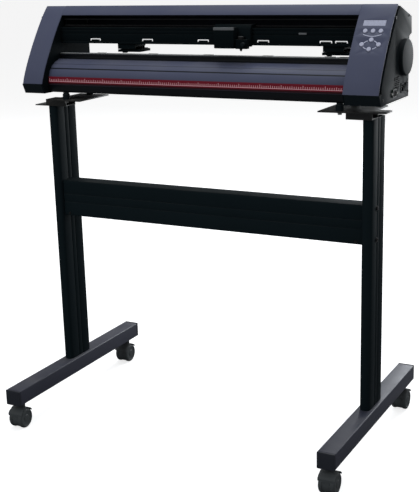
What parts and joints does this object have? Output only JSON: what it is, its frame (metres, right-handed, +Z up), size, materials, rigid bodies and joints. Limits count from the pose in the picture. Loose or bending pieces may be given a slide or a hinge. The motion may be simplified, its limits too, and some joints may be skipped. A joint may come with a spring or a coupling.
{
  "type": "vinyl cutter",
  "caption": "Floor-standing vinyl cutter: a wheeled stand carries a roll-fed cutter with a blade carriage on a rail, pinch rollers over a grit shaft and a key panel.",
  "frame": {"origin": "centre of the object's footprint on the floor, under the wheels", "axes": "+X along the rail towards the control panel, -Y towards the operator, +Z up"},
  "size_m": [0.9052, 0.546, 0.987],
  "materials": {
    "slate_plastic": "satin slate blue-grey, fine grain",
    "black_plastic": "satin black plastic",
    "black_powder_coat": "black powder coat, satin",
    "bright_steel": "turned bright steel",
    "pale_grey_plastic": "matt pale grey",
    "ruler_red": "satin red",
    "white_nylon": "moulded nylon",
    "brass": "machined",
    "roller_rubber": "matt black rubber",
    "belt_rubber": "matt black toothed belt",
    "display_window": "clear window over a pale display",
    "key_cap": "satin lavender grey",
    "circuit_board": "solder mask",
    "motor_steel": "black painted motor case"
  },
  "bodies": {
    "frame": {"foot_left": "black_powder_coat", "upright_left": "black_powder_coat", "support_bracket_left": "black_powder_coat", "side_plate_left": "black_powder_coat", "end_cover_left": "black_plastic", "fascia_left": "slate_plastic", "machine_foot_front_left": "black_plastic", "machine_foot_rear_left": "black_plastic", "foot_right": "black_powder_coat", "upright_right": "black_powder_coat", "support_bracket_right": "black_powder_coat", "side_plate_right": "black_powder_coat", "end_cover_right": "black_plastic", "fascia_right": "slate_plastic", "machine_foot_front_right": "black_plastic", "machine_foot_rear_right": "black_plastic", "crossbeam": "black_powder_coat", "top_cover": "slate_plastic", "base_platen": "slate_plastic", "cutting_strip": "pale_grey_plastic", "ruler_strip": "ruler_red", "guide_rail": "black_powder_coat", "feed_motor": "motor_steel", "drive_belt": "belt_rubber", "carriage_motor": "motor_steel", "lcd_window": "display_window", "mainboard": "circuit_board", "power_inlet": "black_plastic"},
    "caster_front_left": {"caster_hood_front_left": "black_plastic"},
    "wheels_front_left": {"caster_wheels_front_left": "black_plastic"},
    "caster_rear_left": {"caster_hood_rear_left": "black_plastic"},
    "wheels_rear_left": {"caster_wheels_rear_left": "black_plastic"},
    "caster_front_right": {"caster_hood_front_right": "black_plastic"},
    "wheels_front_right": {"caster_wheels_front_right": "black_plastic"},
    "caster_rear_right": {"caster_hood_rear_right": "black_plastic"},
    "wheels_rear_right": {"caster_wheels_rear_right": "black_plastic"},
    "feed_shaft": {"grit_shaft": "bright_steel", "feed_gear": "white_nylon"},
    "motor_pinion": {"feed_pinion": "brass"},
    "pinch_left": {"pinch_bracket_left": "black_powder_coat"},
    "pinch_arm_assembly_left": {"pinch_arm_left": "black_plastic"},
    "pinch_wheel_left": {"pinch_roller_left": "roller_rubber"},
    "pinch_right": {"pinch_bracket_right": "black_powder_coat"},
    "pinch_arm_assembly_right": {"pinch_arm_right": "black_plastic"},
    "pinch_wheel_right": {"pinch_roller_right": "roller_rubber"},
    "carriage": {"carriage_body": "black_powder_coat", "carriage_cover": "black_plastic"},
    "tool": {"tool_slide": "black_plastic", "blade_holder": "bright_steel"},
    "clamp_screw": {"clamp_knob": "black_plastic"},
    "drive_wheel": {"drive_pulley": "bright_steel"},
    "idler_wheel": {"idler_pulley": "bright_steel"},
    "button_menu_key": {"button_menu": "key_cap"},
    "button_pause_key": {"button_pause": "key_cap"},
    "button_start_key": {"button_start": "key_cap"},
    "arrow_button_up_key": {"arrow_button_up": "key_cap"},
    "arrow_button_left_key": {"arrow_button_left": "key_cap"},
    "arrow_button_right_key": {"arrow_button_right": "key_cap"},
    "arrow_button_down_key": {"arrow_button_down": "key_cap"},
    "switch_rocker": {"power_switch": "black_plastic"}
  },
  "joints": [
    {"name": "caster_front_left_swivel", "type": "hinge", "parent": "frame", "child": "caster_front_left", "pos_m": [-0.401, -0.24, 0.063], "axis": [0, 0, 1], "continuous": true},
    {"name": "caster_front_left_roll", "type": "hinge", "parent": "caster_front_left", "child": "wheels_front_left", "pos_m": [-0.401, -0.248, 0.024], "axis": [1, 0, 0], "continuous": true},
    {"name": "caster_rear_left_swivel", "type": "hinge", "parent": "frame", "child": "caster_rear_left", "pos_m": [-0.401, 0.24, 0.063], "axis": [0, 0, 1], "continuous": true},
    {"name": "caster_rear_left_roll", "type": "hinge", "parent": "caster_rear_left", "child": "wheels_rear_left", "pos_m": [-0.401, 0.232, 0.024], "axis": [1, 0, 0], "continuous": true},
    {"name": "caster_front_right_swivel", "type": "hinge", "parent": "frame", "child": "caster_front_right", "pos_m": [0.401, -0.24, 0.063], "axis": [0, 0, 1], "continuous": true},
    {"name": "caster_front_right_roll", "type": "hinge", "parent": "caster_front_right", "child": "wheels_front_right", "pos_m": [0.401, -0.248, 0.024], "axis": [1, 0, 0], "continuous": true},
    {"name": "caster_rear_right_swivel", "type": "hinge", "parent": "frame", "child": "caster_rear_right", "pos_m": [0.401, 0.24, 0.063], "axis": [0, 0, 1], "continuous": true},
    {"name": "caster_rear_right_roll", "type": "hinge", "parent": "caster_rear_right", "child": "wheels_rear_right", "pos_m": [0.401, 0.232, 0.024], "axis": [1, 0, 0], "continuous": true},
    {"name": "feed_spin", "type": "hinge", "parent": "frame", "child": "feed_shaft", "pos_m": [0, 0.024, 0.8687], "axis": [1, 0, 0], "continuous": true},
    {"name": "pinion_spin", "type": "hinge", "parent": "frame", "child": "motor_pinion", "pos_m": [0.3745, 0.066, 0.8752], "axis": [1, 0, 0], "continuous": true},
    {"name": "pinch_left_position", "type": "slide", "parent": "frame", "child": "pinch_left", "axis": [1, 0, 0], "range_m": [-0.13, 0.232]},
    {"name": "pinch_left_lift", "type": "hinge", "parent": "pinch_left", "child": "pinch_arm_assembly_left", "pos_m": [-0.224, 0.05, 0.8955], "axis": [-1, 0, 0], "range_deg": [0, 7]},
    {"name": "pinch_left_roll", "type": "hinge", "parent": "pinch_arm_assembly_left", "child": "pinch_wheel_left", "pos_m": [-0.224, 0.024, 0.8836], "axis": [1, 0, 0], "continuous": true},
    {"name": "pinch_right_position", "type": "slide", "parent": "frame", "child": "pinch_right", "axis": [1, 0, 0], "range_m": [-0.1, 0.024]},
    {"name": "pinch_right_lift", "type": "hinge", "parent": "pinch_right", "child": "pinch_arm_assembly_right", "pos_m": [0.2915, 0.05, 0.8955], "axis": [-1, 0, 0], "range_deg": [0, 7]},
    {"name": "pinch_right_roll", "type": "hinge", "parent": "pinch_arm_assembly_right", "child": "pinch_wheel_right", "pos_m": [0.2915, 0.024, 0.8836], "axis": [1, 0, 0], "continuous": true},
    {"name": "carriage_travel", "type": "slide", "parent": "frame", "child": "carriage", "axis": [1, 0, 0], "range_m": [-0.41, 0.235]},
    {"name": "tool_press", "type": "slide", "parent": "carriage", "child": "tool", "axis": [0, 0, -1], "range_m": [0, 0.009], "stiffness_N_per_m": 150, "springref_m": -0.004},
    {"name": "clamp_turn", "type": "hinge", "parent": "tool", "child": "clamp_screw", "pos_m": [0.113, -0.028, 0.905], "axis": [0, -1, 0], "range_deg": [-360, 0]},
    {"name": "drive_pulley_spin", "type": "hinge", "parent": "frame", "child": "drive_wheel", "pos_m": [0.391, 0.017, 0.949], "axis": [0, 1, 0], "continuous": true},
    {"name": "idler_pulley_spin", "type": "hinge", "parent": "frame", "child": "idler_wheel", "pos_m": [-0.412, 0.017, 0.949], "axis": [0, 1, 0], "continuous": true},
    {"name": "button_menu_press", "type": "slide", "parent": "frame", "child": "button_menu_key", "axis": [0, 0.8026, -0.5966], "range_m": [0, 0.001], "stiffness_N_per_m": 600, "springref_m": -0.0006},
    {"name": "button_pause_press", "type": "slide", "parent": "frame", "child": "button_pause_key", "axis": [0, 0.8026, -0.5966], "range_m": [0, 0.001], "stiffness_N_per_m": 600, "springref_m": -0.0006},
    {"name": "button_start_press", "type": "slide", "parent": "frame", "child": "button_start_key", "axis": [0, 0.8026, -0.5966], "range_m": [0, 0.001], "stiffness_N_per_m": 600, "springref_m": -0.0006},
    {"name": "arrow_button_up_press", "type": "slide", "parent": "frame", "child": "arrow_button_up_key", "axis": [0, 0.8164, -0.5775], "range_m": [0, 0.001], "stiffness_N_per_m": 600, "springref_m": -0.0006},
    {"name": "arrow_button_left_press", "type": "slide", "parent": "frame", "child": "arrow_button_left_key", "axis": [0, 0.8238, -0.5669], "range_m": [0, 0.001], "stiffness_N_per_m": 600, "springref_m": -0.0006},
    {"name": "arrow_button_right_press", "type": "slide", "parent": "frame", "child": "arrow_button_right_key", "axis": [0, 0.8238, -0.5669], "range_m": [0, 0.001], "stiffness_N_per_m": 600, "springref_m": -0.0006},
    {"name": "arrow_button_down_press", "type": "slide", "parent": "frame", "child": "arrow_button_down_key", "axis": [0, 0.8303, -0.5573], "range_m": [0, 0.001], "stiffness_N_per_m": 600, "springref_m": -0.0006},
    {"name": "power_switch_rock", "type": "hinge", "parent": "frame", "child": "switch_rocker", "pos_m": [0.441, 0.081, 0.812], "axis": [0, -1, 0], "range_deg": [-16, 0]}
  ],
  "couplings": [
    {"joint": "pinion_spin", "follows": "feed_spin", "ratio": -5.5385},
    {"joint": "drive_pulley_spin", "follows": "carriage_travel", "rad_per_m": -149.25},
    {"joint": "idler_pulley_spin", "follows": "carriage_travel", "rad_per_m": -149.25}
  ]
}
